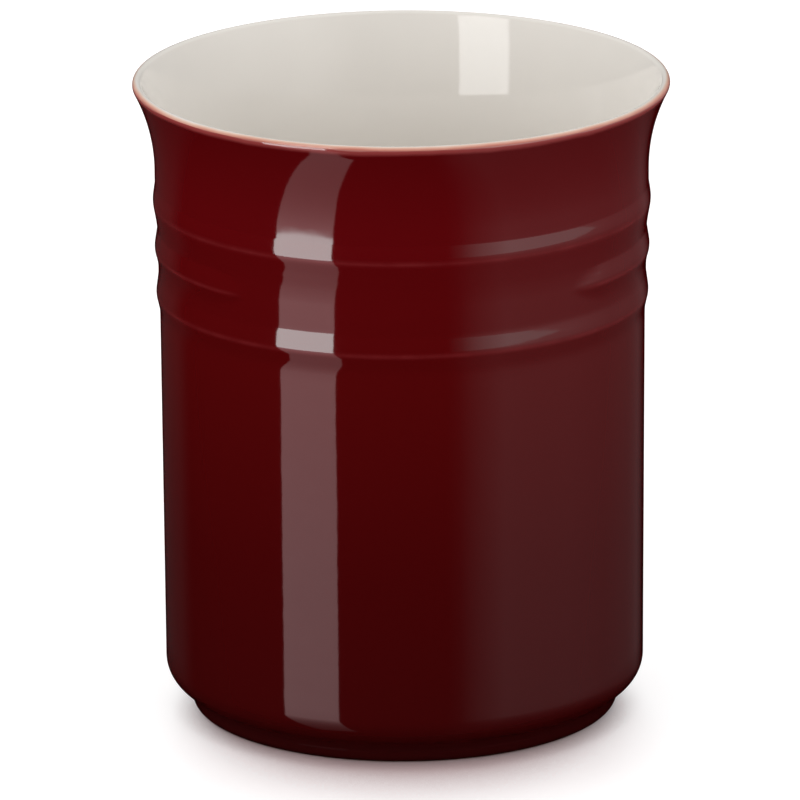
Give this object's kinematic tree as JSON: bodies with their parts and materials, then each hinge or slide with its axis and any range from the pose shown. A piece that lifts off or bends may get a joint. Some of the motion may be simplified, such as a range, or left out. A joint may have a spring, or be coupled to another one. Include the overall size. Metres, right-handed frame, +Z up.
{
  "type": "utensil crock",
  "caption": "Stoneware utensil crock with a flared rim, three raised beads, a bare front panel and a turned foot, burgundy glaze outside and cream inside.",
  "frame": {"origin": "middle of the foot, on the surface the crock stands on", "axes": "+Z up along the turning axis, out of the mouth; -Y is the front, through the middle of the bare panel where the middle bead stops; +X is to the right as seen from the front"},
  "size_m": [0.1238, 0.1238, 0.15],
  "materials": {
    "fired_stoneware": "bare fired stoneware, matt and slightly sandy",
    "burgundy_glaze": "gloss glaze, deep burgundy, thinner and redder on edges",
    "cream_glaze": "gloss glaze, warm cream"
  },
  "bodies": {
    "root": {"stoneware_body": "fired_stoneware", "outer_glaze": "burgundy_glaze", "inner_glaze": "cream_glaze", "base_glaze": "burgundy_glaze"}
  },
  "joints": []
}
